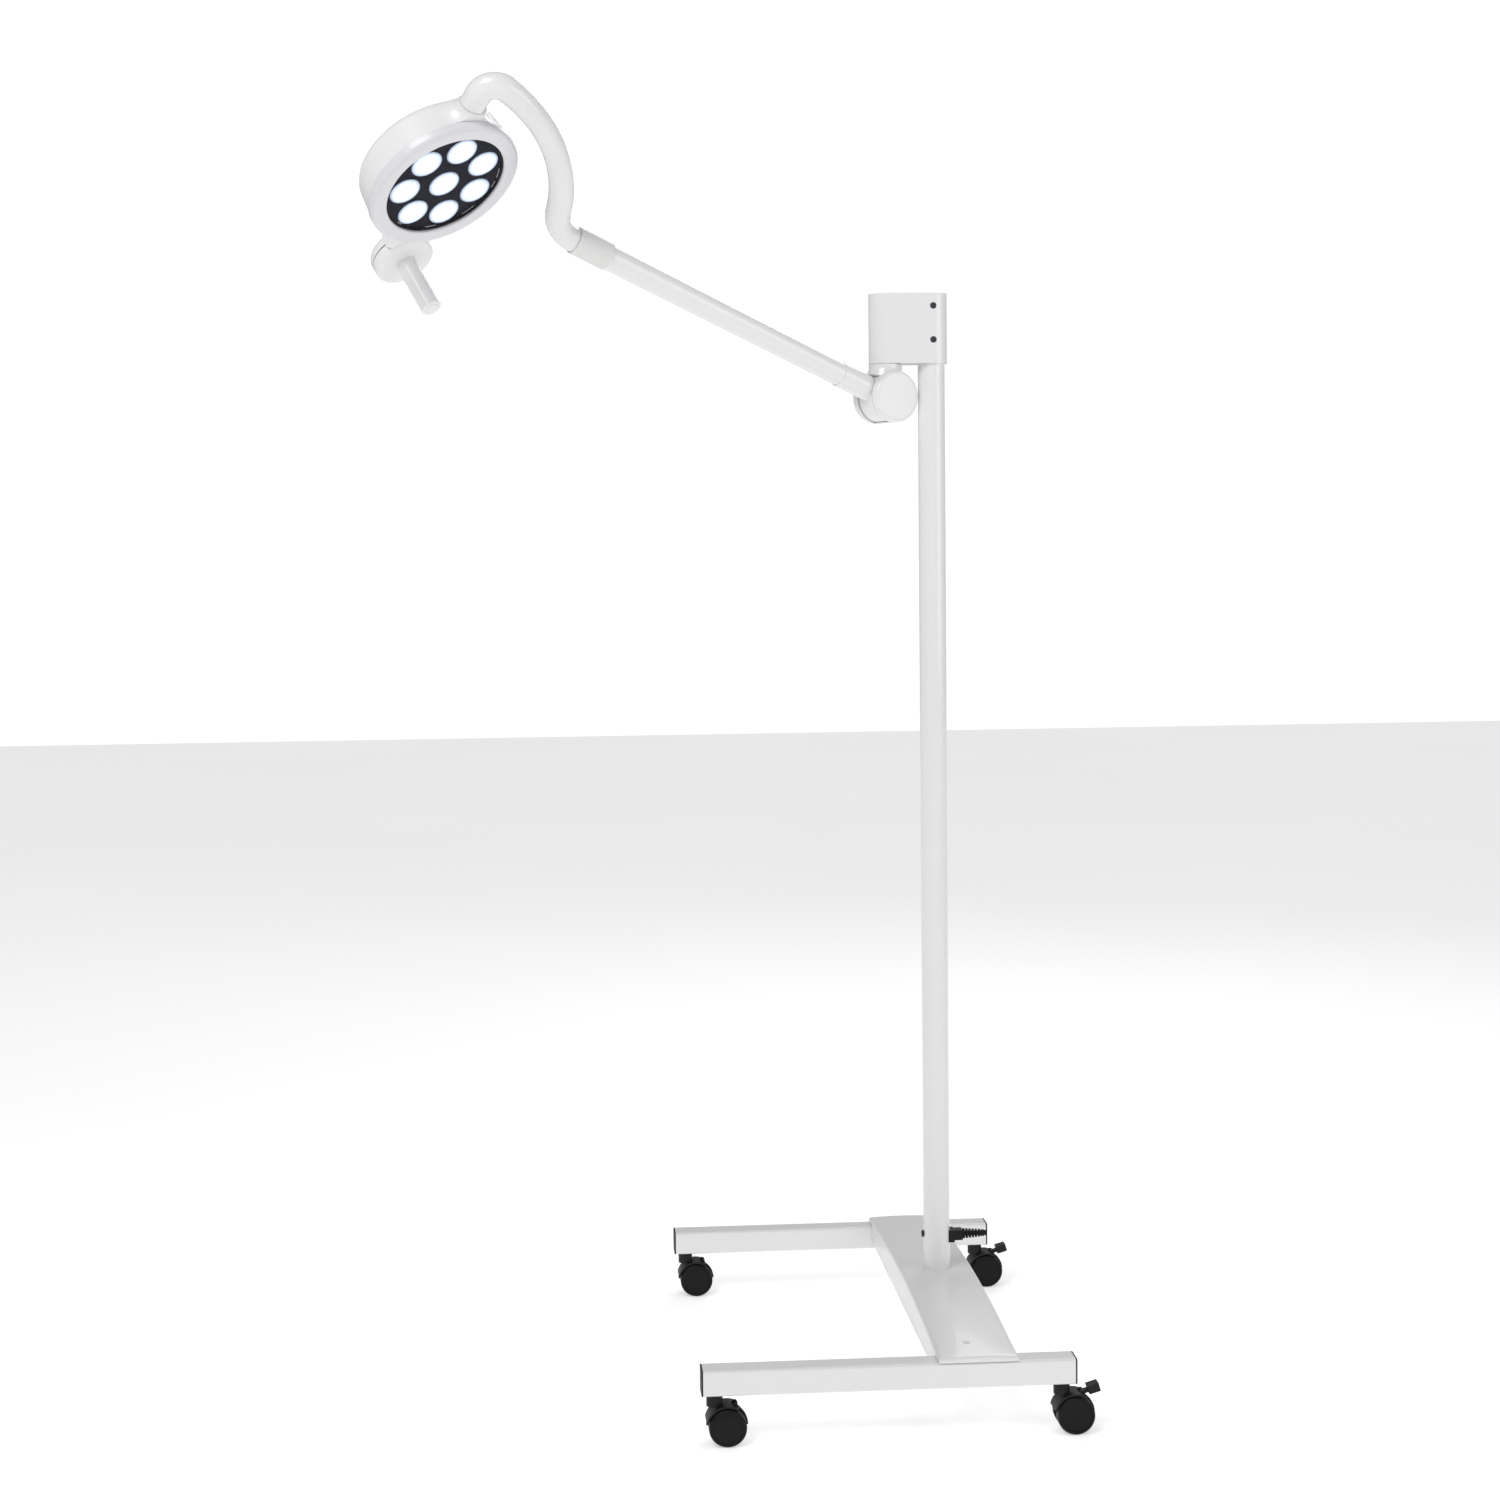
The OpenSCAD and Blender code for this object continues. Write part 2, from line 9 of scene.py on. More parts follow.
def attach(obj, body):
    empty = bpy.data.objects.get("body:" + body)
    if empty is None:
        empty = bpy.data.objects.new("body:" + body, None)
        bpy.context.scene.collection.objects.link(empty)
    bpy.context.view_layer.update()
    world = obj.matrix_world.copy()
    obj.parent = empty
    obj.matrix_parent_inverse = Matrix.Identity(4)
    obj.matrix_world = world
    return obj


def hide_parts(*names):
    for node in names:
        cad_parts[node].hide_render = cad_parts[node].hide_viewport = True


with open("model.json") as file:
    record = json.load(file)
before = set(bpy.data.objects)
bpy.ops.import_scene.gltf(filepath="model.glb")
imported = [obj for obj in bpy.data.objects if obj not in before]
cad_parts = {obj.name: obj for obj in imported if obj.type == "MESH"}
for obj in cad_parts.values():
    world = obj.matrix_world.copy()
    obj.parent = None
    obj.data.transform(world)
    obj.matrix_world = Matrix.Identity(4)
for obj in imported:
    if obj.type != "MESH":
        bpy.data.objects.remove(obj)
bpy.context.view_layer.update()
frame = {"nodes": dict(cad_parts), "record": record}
nodes = frame["nodes"]
record = frame["record"]
joints = {j["name"]: j for j in record["behaviour"]["joints"]}
mounts = {m["name"]: m for m in record["mounts"]}
print("frame loaded")

# ---------- camera, light, floor ----------

view = {"place": (-0.6421, -3.9044, 1.3477), "ahead": (0.064911, 0.996052, -0.060546),
        "up": (0.016183, 0.059615, 0.99809), "lens": 57.06, "shift": (0.0333, -0.0333)}


def makeCamera():
    # columns of the turn are the camera's right, up and back directions
    ahead, up = Vector(view["ahead"]).normalized(), Vector(view["up"])
    right = ahead.cross(up).normalized()
    up = right.cross(ahead)
    turn = Matrix((right, up, -ahead)).transposed()
    data = bpy.data.cameras.new("camera")
    data.lens, data.sensor_width = view["lens"], 36
    data.shift_x, data.shift_y = view["shift"]
    data.clip_end = 60
    cam = bpy.data.objects.new("camera", data)
    cam.matrix_world = Matrix.Translation(view["place"]) @ turn.to_4x4()
    bpy.context.scene.collection.objects.link(cam)
    bpy.context.scene.camera = cam


studio = {"key": ((-2.2, -2.8, 4.2), 2.0, 80), "fill": ((3.0, -2.2, 2.0), 2.2, 26),
          "rim": ((1.2, 3.0, 3.2), 2.0, 30), "aim": (-0.3, 0, 1.0), "backdrop": 1.06, "sky": 0.40,
          "floor": 14.0, "floorDrop": 0.0006, "floorGlow": 0.52}


def makeStudio():
    for name in ("key", "fill", "rim"):
        place, size, power = studio[name]
        lamp = bpy.data.lights.new(name, "AREA")
        lamp.shape, lamp.size, lamp.energy = "SQUARE", size, power
        ob = bpy.data.objects.new(name, lamp)
        ob.location = place
        ob.rotation_euler = (Vector(studio["aim"]) - Vector(place)).to_track_quat("-Z", "Y").to_euler()
        bpy.context.scene.collection.objects.link(ob)
    world = bpy.data.worlds.new("studio")
    world.use_nodes = True
    # the backdrop is white to the eye, and lights the object more softly
    tree = world.node_tree
    ray = tree.nodes.new("ShaderNodeLightPath")
    level = tree.nodes.new("ShaderNodeMapRange")
    level.inputs[3].default_value, level.inputs[4].default_value = studio["sky"], studio["backdrop"]
    tree.links.new(ray.outputs["Is Camera Ray"], level.inputs[0])
    tree.nodes["Background"].inputs[0].default_value = (1, 1, 1, 1)
    tree.links.new(level.outputs[0], tree.nodes["Background"].inputs[1])
    bpy.context.scene.world = world
    bpy.context.scene.view_settings.view_transform = "Standard"


makeCamera()
makeStudio()
print("camera and studio made")

# ---------- mesh helpers ----------


def meshObject(name, points, faces, uv=None, sharp=40):
    # points is an (n, 3) array, faces a list of index rows, uv one pair for each point
    mesh = bpy.data.meshes.new(name)
    mesh.from_pydata(points.tolist(), [], faces)
    mesh.validate()
    if uv is not None:
        layer = mesh.uv_layers.new(name="UVMap")
        corner = np.empty(len(mesh.loops), dtype=np.int32)
        mesh.loops.foreach_get("vertex_index", corner)
        layer.data.foreach_set("uv", uv[corner].astype(np.float32).ravel())
    mesh.polygons.foreach_set("use_smooth", [True] * len(mesh.polygons))
    mesh.set_sharp_from_angle(angle=math.radians(sharp))
    ob = bpy.data.objects.new(name, mesh)
    bpy.context.scene.collection.objects.link(ob)
    return ob


def gridFaces(rows, cols, wrap, base=0):
    # quads between neighbouring rows; wrap joins the last column to the first
    i, j = np.meshgrid(np.arange(rows - 1), np.arange(cols if wrap else cols - 1), indexing="ij")
    k = (j + 1) % cols
    quads = np.stack([i * cols + j, i * cols + k, (i + 1) * cols + k, (i + 1) * cols + j], -1)
    return (quads.reshape(-1, 4) + base).tolist()


def tubeMesh(name, rings, sharp=40):
    # rings is (n, m, 3): closed rings one after another, with a lid on each end
    n, m, _ = rings.shape
    faces = gridFaces(n, m, True)
    faces += [list(range(m - 1, -1, -1)), list(range((n - 1) * m, n * m))]
    return meshObject(name, rings.reshape(-1, 3), faces, None, sharp)


def frameOf(origin, along, side):
    # a place with three directions: x along, y the part of side square to it, z = x cross y
    x = np.array(along, float)
    x = x / np.linalg.norm(x)
    y = np.array(side, float)
    y = y - x * (x @ y)
    y = y / np.linalg.norm(y)
    return np.array(origin, float), np.stack([x, y, np.cross(x, y)])


def put(points, place):
    origin, rows = place
    return origin + np.asarray(points) @ rows


def turned(name, profile, place, steps=128, sharp=35):
    # a profile of (radius, height) pairs carried round the place's z direction;
    # point = (radius cos t, radius sin t, height)
    profile = np.array(profile, float)
    t = np.linspace(0, 2 * np.pi, steps, endpoint=False)
    r, h = profile[:, :1], profile[:, 1:]
    rings = np.stack([r * np.cos(t), r * np.sin(t), h + 0 * t], -1)
    return tubeMesh(name, put(rings, place), sharp=sharp)


def arcPoints(cx, cy, r, a0, a1, n=8):
    t = np.radians(np.linspace(a0, a1, n))
    return [(cx + r * math.cos(a), cy + r * math.sin(a)) for a in t]


def swept(name, path, normal, radius, steps=64):
    # a circle carried along a flat path; point = path + radius (cos t side + sin t normal)
    path = np.asarray(path)
    run = np.gradient(path, axis=0)
    run /= np.linalg.norm(run, axis=1, keepdims=True)
    side = np.cross(normal, run)
    t = np.linspace(0, 2 * np.pi, steps, endpoint=False)[None, :, None]
    r = np.broadcast_to(np.asarray(radius, float), (len(path),))[:, None, None]
    rings = path[:, None] + r * (np.cos(t) * side[:, None] + np.sin(t) * np.asarray(normal))
    return tubeMesh(name, rings)


# ---------- shader helpers ----------


class Sock:
    # a shader socket that takes part in sums
    def __init__(self, tree, out):
        self.tree, self.out = tree, out

    def math(self, kind, other=None, swap=False):
        a, b = (other, self) if swap else (self, other)
        return self.tree.node("ShaderNodeMath", {"operation": kind}, {0: a, 1: b} if b is not None else {0: a})

    def __add__(self, other): return self.math("ADD", other)
    def __radd__(self, other): return self.math("ADD", other, True)
    def __sub__(self, other): return self.math("SUBTRACT", other)
    def __rsub__(self, other): return self.math("SUBTRACT", other, True)
    def __mul__(self, other): return self.math("MULTIPLY", other)
    def __rmul__(self, other): return self.math("MULTIPLY", other, True)
    def __lt__(self, other): return self.math("LESS_THAN", other)
    def __gt__(self, other): return self.math("GREATER_THAN", other)


class Finish:
    # a material whose nodes are made by one method
    def __init__(self, name):
        self.mat = bpy.data.materials.new(name)
        self.mat.use_nodes = True
        self.nodes, self.links = self.mat.node_tree.nodes, self.mat.node_tree.links
        self.shader = self.nodes["Principled BSDF"]

    def node(self, kind, settings=None, values=None, output=0):
        made = self.nodes.new(kind)
        for key, value in (settings or {}).items():
            if key == "stops":
                ramp = made.color_ramp
                while len(ramp.elements) < len(value):
                    ramp.elements.new(0.5)
                for element, (at, tone) in zip(ramp.elements, value):
                    element.position, element.color = at, (*tone, 1)
            else:
                setattr(made, key, value)
        for key, value in (values or {}).items():
            self.feed(made.inputs[key], value)
        return Sock(self, made.outputs[output])

    def feed(self, socket, value):
        if isinstance(value, Sock):
            self.links.new(value.out, socket)
        elif value is not None:
            socket.default_value = value

    def set(self, **values):
        for key, value in values.items():
            self.feed(self.shader.inputs[key.replace("_", " ")], value)

    def place(self):
        return self.node("ShaderNodeTexCoord", None, None, 3)

    def noise(self, scale, detail=3, rough=0.5, at=None):
        return self.node("ShaderNodeTexNoise", None, {"Vector": at or self.place(), "Scale": scale,
                                                     "Detail": detail, "Roughness": rough})

    def ramp(self, value, stops):
        return self.node("ShaderNodeValToRGB", {"stops": stops}, {"Fac": value})

    def bump(self, height, strength, distance):
        return self.node("ShaderNodeBump", None, {"Height": height, "Strength": strength, "Distance": distance})


def shell(name, look):
    # paint or moulded plastic: broad noise drifts the tone, mid noise the gloss,
    # and fine noise lifts a faint orange peel or grain
    f = Finish(name)
    drift = f.noise(look["drift"], 4, 0.55)
    f.set(Base_Color=f.ramp(drift, [(0.3, look["tone"]), (0.7, look["toneB"])]),
          Roughness=look["rough"] + (f.noise(look["smear"], 3) - 0.5) * look["roughSpan"],
          Normal=f.bump(f.noise(look["peel"], 2), look["bump"], 0.001),
          Metallic=look.get("metal", 0.0), IOR=1.46, Specular_IOR_Level=look.get("gloss", 0.5))
    if "coat" in look:
        f.set(Coat_Weight=look["coat"], Coat_Roughness=0.08)
    return f.mat


finishes = {
    "whitePaint": {"tone": (0.785, 0.780, 0.790), "toneB": (0.805, 0.800, 0.810), "drift": 2.5, "smear": 6,
                   "rough": 0.24, "roughSpan": 0.05, "peel": 260, "bump": 0.012, "coat": 0.6},
    "whitePlastic": {"tone": (0.785, 0.775, 0.785), "toneB": (0.805, 0.795, 0.805), "drift": 3, "smear": 7,
                     "rough": 0.30, "roughSpan": 0.05, "peel": 420, "bump": 0.010, "coat": 0.2},
    "bezelWhite": {"tone": (0.68, 0.672, 0.70), "toneB": (0.70, 0.692, 0.72), "drift": 4, "smear": 9,
                   "rough": 0.28, "roughSpan": 0.05, "peel": 420, "bump": 0.010, "coat": 0.2},
    "satinRing": {"tone": (0.72, 0.718, 0.712), "toneB": (0.75, 0.748, 0.742), "drift": 9, "smear": 40,
                  "rough": 0.5, "roughSpan": 0.1, "peel": 900, "bump": 0.03},
    "blackPlastic": {"tone": (0.006, 0.006, 0.007), "toneB": (0.010, 0.010, 0.011), "drift": 20, "smear": 60,
                     "rough": 0.5, "roughSpan": 0.12, "peel": 1200, "bump": 0.06, "gloss": 0.3},
    "blackTread": {"tone": (0.003, 0.003, 0.0035), "toneB": (0.006, 0.006, 0.0065), "drift": 25, "smear": 70,
                   "rough": 0.45, "roughSpan": 0.14, "peel": 900, "bump": 0.05, "gloss": 0.22},
    "blackRubberAndSeamShade": {"tone": (0.006, 0.006, 0.006), "toneB": (0.010, 0.010, 0.010), "drift": 30, "smear": 80,
                    "rough": 0.6, "roughSpan": 0.12, "peel": 1200, "bump": 0.08, "gloss": 0.3},
    "steel": {"tone": (0.42, 0.42, 0.42), "toneB": (0.55, 0.55, 0.54), "drift": 60, "smear": 180,
              "rough": 0.32, "roughSpan": 0.16, "peel": 1600, "bump": 0.06, "metal": 1.0},
    "darkSteel": {"tone": (0.10, 0.11, 0.12), "toneB": (0.16, 0.17, 0.18), "drift": 90, "smear": 200,
                  "rough": 0.28, "roughSpan": 0.12, "peel": 1600, "bump": 0.05, "metal": 1.0},
    "blackScrew": {"tone": (0.02, 0.02, 0.02), "toneB": (0.035, 0.035, 0.035), "drift": 90, "smear": 200,
                   "rough": 0.34, "roughSpan": 0.12, "peel": 1600, "bump": 0.05, "metal": 0.6},
    "bush": {"tone": (0.55, 0.5, 0.38), "toneB": (0.62, 0.57, 0.44), "drift": 40, "smear": 90,
             "rough": 0.5, "roughSpan": 0.12, "peel": 1600, "bump": 0.06},
    "board": {"tone": (0.015, 0.1, 0.04), "toneB": (0.02, 0.13, 0.055), "drift": 60, "smear": 120,
              "rough": 0.38, "roughSpan": 0.12, "peel": 1600, "bump": 0.06},
    "heatSink": {"tone": (0.5, 0.5, 0.51), "toneB": (0.58, 0.58, 0.59), "drift": 30, "smear": 120,
                 "rough": 0.38, "roughSpan": 0.14, "peel": 1600, "bump": 0.06, "metal": 1.0},
    "lensPlate": {"tone": (0.005, 0.005, 0.011), "toneB": (0.009, 0.009, 0.018), "drift": 14, "smear": 40,
                  "rough": 0.35, "roughSpan": 0.08, "peel": 900, "bump": 0.02, "gloss": 0.08},
}
mats = {name: shell(name, look) for name, look in finishes.items()}

lensLook = {"bright": 1.0, "core": (0.97, 0.985, 1.0), "ring": (0.62, 0.74, 0.92), "edge": (0.14, 0.18, 0.28),
            "mark": (0.36, 0.46, 0.68)}


def lensFinish():
    # light from a lens: white in the middle, bluish at its edge, with small square chips;
    # distance = length(uv - centre), chips where |u - a| and |v - b| are both small
    f = Finish("litLens")
    uv = f.node("ShaderNodeUVMap", {"uv_map": "UVMap"})
    split = f.node("ShaderNodeSeparateXYZ", None, {0: uv})
    u, v = split - 0.5, Sock(f, split.out.node.outputs[1]) - 0.5
    far = (u * u + v * v).math("SQRT") * 2.0
    chips = None
    for a, b, w in ((-0.18, -0.07, 0.075), (0.16, -0.11, 0.08), (0.0, 0.17, 0.065), (-0.02, -0.26, 0.045)):
        box = ((u - a).math("ABSOLUTE") < w) * ((v - b).math("ABSOLUTE") < w)
        hole = ((u - a).math("ABSOLUTE") < w * 0.6) * ((v - b).math("ABSOLUTE") < w * 0.6)
        ring = box - hole
        chips = ring if chips is None else chips.math("MAXIMUM", ring)
    speck = f.noise(9, 3, 0.6, uv) * (far > 0.45) * (f.noise(14, 2, 0.5, uv) > 0.54)
    glow = f.ramp(far, [(0.0, lensLook["core"]), (0.66, lensLook["core"]), (0.86, lensLook["ring"]),
                       (0.97, lensLook["edge"])])
    marks = (chips * 0.75).math("MAXIMUM", speck * 0.9)
    tint = f.node("ShaderNodeMix", {"data_type": "RGBA"}, {0: marks, 6: glow}, 2)
    tint.out.node.inputs[7].default_value = (*lensLook["mark"], 1)
    f.set(Base_Color=(0.3, 0.33, 0.36, 1), Roughness=0.2, Emission_Color=tint, Emission_Strength=lensLook["bright"])
    return f.mat


def windowFinish():
    # clear sheet: mostly see-through, with a sharp gloss
    f = Finish("clearWindow")
    film = f.noise(30, 3)
    f.set(Base_Color=(0.05, 0.055, 0.07, 1), Roughness=0.03 + film * 0.03, Alpha=0.04 + film * 0.01, IOR=1.46,
          Specular_IOR_Level=0.5)
    f.mat.surface_render_method = "DITHERED"
    return f.mat


mats["litLens"], mats["clearWindow"] = lensFinish(), windowFinish()
print("finishes made")

# ---------- finishes on the carried-over nodes ----------

dressed = {
    "whitePaint": ["front_leg", "rear_leg", "cross_beam", "pole_tube", "bracket_housing", "bracket_cap", "arm_tube",
                   "elbow_housing", "elbow_front_cap", "elbow_rear_cap", "arm_root", "swan_neck"],
    "whitePlastic": ["base_cover", "cover_screws", "lamp_housing", "pod_rear", "pod_front", "handle_grip",
                     "handle_button"],
    "bezelWhite": ["lamp_rim"],
    "satinRing": ["arm_collar"],
    "blackPlastic": ["leg_end_caps", "power_socket", "front_left_hood", "front_right_hood", "rear_left_hood",
                     "rear_right_hood", "front_brake_lever", "rear_brake_lever", "power_supply"],
    "blackRubberAndSeamShade": ["strain_relief", "window_gasket"],
    "blackTread": ["front_left_wheels", "front_right_wheels", "rear_left_wheels", "rear_right_wheels"],
    "steel": ["pole_socket", "caster_stems", "front_left_axle", "front_right_axle", "rear_left_axle",
              "rear_right_axle", "pivot_spindle", "elbow_pin", "roll_spigot", "head_spindle"],
    "darkSteel": ["bracket_screws"],
    "blackScrew": ["pole_screws"],
    "bush": ["spindle_bushes", "friction_washers"],
    "board": ["led_board", "driver_board"],
    "heatSink": ["heat_sink"],
    "lensPlate": ["lens_plate"],
    "litLens": ["lenses"],
    "clearWindow": ["lamp_window"],
}
for finish, names in dressed.items():
    for name in names:
        data = nodes[name].data
        data.materials.clear()
        data.materials.append(mats[finish])


def dress(ob, finish, body, slotName, *stands):
    ob.data.materials.clear()
    ob.data.materials.append(mats[finish])
    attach(ob, body)
    if stands:
        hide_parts(*stands)
    return ob


# ---------- places on the object ----------

elbowAt = np.array(joints["arm_tilt"]["pos_m"])
pinAxis = -np.array(joints["arm_tilt"]["axis"])
armAxis = np.array(joints["neck_roll"]["axis"])
neckAt = np.array(joints["neck_roll"]["pos_m"])
lampAt = np.array(joints["head_turn"]["pos_m"])
lampAlong = np.array(joints["head_turn"]["axis"])
lampShine = np.array(mounts["handle_cover"]["axis"])
gripAt = np.array(mounts["handle_cover"]["pos_m"])
lampPlace = frameOf(lampAt, lampAlong, np.cross(lampShine, lampAlong))
podPlace = (gripAt - 0.052 * lampShine, lampPlace[1])
podTurn = math.atan2(*reversed(((podPlace[0] - lampAt) @ lampPlace[1].T)[:2].tolist()))

# ---------- base cover ----------

coverLook = {"half": 0.062, "length": 0.392, "top": 0.148, "endTop": 0.127, "crown": 0.004, "edge": 0.007,
             "endEdge": 0.0045, "skirt": 0.092, "lip": 0.1184, "legInner": 0.3499, "wall": 0.002}


def makeCover():
    # each station along y is an arch: the middle height falls as the square of y, the crown as the
    # square of x, and the edges roll over by a quarter circle; near the ends the height rolls down too
    c = coverLook
    y = np.concatenate([np.linspace(0, 0.30, 22), np.linspace(0.31, c["legInner"] - 0.0002, 5),
                        [c["legInner"] + 0.0002], np.linspace(0.353, c["length"] - c["endEdge"], 5),
                        c["length"] - c["endEdge"] + c["endEdge"] * np.sin(np.radians([18, 36, 54, 70, 84]))])
    y = np.concatenate([-y[:0:-1], y])
    a = np.abs(y)
    over = np.clip(a - (c["length"] - c["endEdge"]), 0, c["endEdge"])
    roll = c["endEdge"] - np.sqrt(c["endEdge"] ** 2 - over ** 2)
    crest = c["top"] - (c["top"] - c["endTop"]) * (a / c["length"]) ** 2 - roll
    low = np.where(a < c["legInner"], c["skirt"], c["lip"])
    t = np.radians(np.linspace(90, 0, 8))
    # over the legs there is less height, so the edge and the crown shrink with it
    room = (crest - c["lip"])[:, None]
    s = np.minimum(c["edge"], room * 0.5)
    crown = np.minimum(c["crown"], room * 0.25)
    half = c["half"] - roll * 0.35
    xTop = np.linspace(0, 1, 14)
    rows = []
    flatX = xTop[None, :] * (half[:, None] - s)
    flatZ = crest[:, None] - crown * (flatX / c["half"]) ** 2
    rollX = (half[:, None] - s) + s * np.cos(t)[None, :]
    edgeZ = flatZ[:, -1:] - s + s * np.sin(t)[None, :]
    downX = np.repeat(half[:, None], 3, 1)
    downZ = edgeZ[:, -1:] + (low[:, None] - edgeZ[:, -1:]) * np.array([[0.2, 0.6, 1.0]])
    x = np.concatenate([flatX, rollX[:, 1:], downX], 1)
    z = np.concatenate([flatZ, edgeZ[:, 1:], downZ], 1)
    x = np.concatenate([-x[:, :0:-1], x], 1)
    z = np.concatenate([z[:, :0:-1], z], 1)
    z = np.minimum(z, c["top"])
    points = np.stack([x, np.repeat(y[:, None], x.shape[1], 1), z], -1)
    n, m, _ = points.shape
    faces = gridFaces(n, m, False)
    faces += [list(range(m - 1, -1, -1)), list(range((n - 1) * m, n * m))]
    ob = meshObject("coverShell", points.reshape(-1, 3), faces, None, 50)
    wall = ob.modifiers.new("wall", "SOLIDIFY")
    wall.thickness, wall.offset = c["wall"], -1
    return dress(ob, "whitePlastic", "base", "white_plastic", "base_cover")


makeCover()
print("cover made")

# ---------- elbow ----------

elbowLook = {"radius": 0.042, "half": 0.036, "edge": 0.006, "capInner": 0.030, "step": 0.0012, "core": 0.0005}


def makeElbowCaps():
    # each cap is a disc whose rim rolls over by a quarter circle; profile carried round the pin axis
    e = elbowLook
    r, h, s, k = e["radius"], e["half"], e["edge"], e["capInner"]
    core, inside = e["core"], r - e["step"]
    profile = [(core, k), (inside, k), (inside, k + 0.0005), (r, k + 0.0009), (r, h - s)]
    profile += arcPoints(r - s, h - s, s, 0, 90, 9)[1:]
    profile += [(core, h)]
    for name, side, node in (("elbowFrontDisc", 1, "elbow_front_cap"), ("elbowRearDisc", -1, "elbow_rear_cap")):
        axis = pinAxis * side
        x = np.cross((0, 0, 1), axis)
        place = (elbowAt, np.stack([x, np.cross(axis, x), axis]))
        dress(turned(name, profile, place, 96), "whitePaint", "elbow", "white_paint", node)


neckFlare = {"top": 0.0275, "reachX": 0.036, "reachY": 0.0295, "height": 0.0520}


def makeElbowFlare():
    # skirt from the round neck down onto the drum; each side line is a curve that leaves the neck
    # straight down and meets the drum level: point = (1-t)^2 A + 2 t (1-t) C + t^2 B
    n = neckFlare
    phi = np.radians(np.linspace(52, 308, 90))[None, :]
    t = np.linspace(0, 1, 14)[:, None]
    ax, ay = n["reachX"] * np.cos(phi), n["reachY"] * np.sin(phi)
    zb = np.sqrt(elbowLook["radius"] ** 2 - ax ** 2) - 0.0008
    tx, ty = n["top"] * 0.985 * np.cos(phi), n["top"] * 0.985 * np.sin(phi)
    zt = n["height"] + 0 * zb
    mixed = [(1 - t) ** 2 * p + 2 * t * (1 - t) * q + t ** 2 * r
             for p, q, r in ((tx, tx, ax), (ty, ty, ay), (zt, zb + 0.002, zb))]
    along = np.cross(pinAxis, (0, 0, 1))
    place = (elbowAt, np.stack([along, pinAxis, np.array((0, 0, 1.0))]))
    points = put(np.stack(mixed, -1), place)
    ob = meshObject("elbowFlare", points.reshape(-1, 3), gridFaces(*points.shape[:2], False), None, 60)
    dress(ob, "whitePaint", "elbow", "white_paint")


makeElbowCaps()
makeElbowFlare()
print("elbow made")

# ---------- swan-neck ----------

bends = {"radius": 0.019, "start": 0.0018, "lead": 0.061, "arcs": ((0.0575, 67.0), (0.2375, -58.7), (0.026, -106.8)),
         "tail": 0.019}


def neckPath():
    # straight, three arcs in one plane, straight; an arc's points turn about its centre
    heading, at, out = 0.0, np.array([bends["start"], 0.0]), []
    out += [at, np.array([bends["lead"] * 0.5, 0]), np.array([bends["lead"] - 0.0005, 0])]
    at = np.array([bends["lead"], 0.0])
    for r, angle in bends["arcs"]:
        sign = math.copysign(1, angle)
        centre = at + r * sign * np.array([-math.sin(heading), math.cos(heading)])
        t = heading + np.radians(np.linspace(0, angle, max(10, int(abs(angle) / 2.2))))
        arc = centre + r * sign * np.stack([np.sin(t), -np.cos(t)], -1)
        out += list(arc[:-1])
        at, heading = arc[-1], t[-1]
    tip = at + bends["tail"] * np.array([math.cos(heading), math.sin(heading)])
    out += [at, (at + tip) / 2, tip]
    return np.array(out), heading


def makeSwanNeck():
    flat, heading = neckPath()
    up = lampAlong - armAxis * (lampAlong @ armAxis)
    up = -up / np.linalg.norm(up)
    path = neckAt + flat[:, :1] * armAxis + flat[:, 1:] * up
    ob = swept("swanNeckTube", path, np.cross(armAxis, up), bends["radius"] - 0.00002, 72)
    dress(ob, "whitePaint", "neck", "white_paint", "swan_neck")
    return path[-1]


neckEnd = makeSwanNeck()
print("swan-neck made")

# ---------- lamp head ----------

headLook = {"back": -0.034, "front": 0.020, "rearR": 0.1125, "frontR": 0.1165, "corner": 0.016, "neckR": 0.0205,
            "neckGap": 0.0007, "flare": 0.024}


def makeLampHousing():
    # side height against radius: level back, quarter-round corner, then a slight draft outwards;
    # round the neck the radius grows by reach (1 - sqrt(1 - (1-u)^2)), u the distance past the neck ring
    k = headLook
    reach = np.linalg.norm(neckEnd - lampAt) - k["neckGap"]
    corner = np.array(arcPoints(k["rearR"] - k["corner"], k["back"] + k["corner"], k["corner"], -90, 0, 14))
    rise = np.linspace(0, 1, 26)[1:, None]
    foot, lip = np.array([k["rearR"], k["back"] + k["corner"]]), np.array([k["frontR"], k["front"]])
    side = foot + rise * (lip - foot)
    middle = np.stack([np.linspace(0.0008, k["rearR"] - k["corner"], 14)[:-1], np.full(13, k["back"])], -1)
    profile = np.concatenate([middle, corner, side])
    fine = np.linspace(-1, 1, 161)
    t = np.pi + np.concatenate([0.42 * fine, np.linspace(0.43, 2 * np.pi - 0.43, 150)])
    r, z = profile[:, :1], profile[:, 1:]
    dist = np.sqrt((k["frontR"] * np.sin(t)) ** 2 + z ** 2)
    facing = np.cos(t) < 0
    u = np.clip((dist - k["neckR"]) / k["flare"], 0, 1)
    lift = np.where(facing, 1 - np.sqrt(1 - (1 - u) ** 2), 0)
    rim = np.clip((r - 0.10) / 0.012, 0, 1)
    out = reach / np.maximum(np.abs(np.cos(t)), 0.9) - r
    grown = r + lift * out * rim
    rings = np.stack([grown * np.cos(t), grown * np.sin(t), z + 0 * t], -1)
    ob = tubeMesh("lampShell", put(rings, lampPlace), sharp=50)
    dress(ob, "whitePlastic", "head", "white_plastic", "lamp_housing")


rimLook = {"inner": 0.094, "outer": 0.118, "seat": 0.0206, "face": 0.035, "round": 0.007, "innerRound": 0.0025,
           "back": 0.0302, "ledge": 0.107, "step": 0.0004}


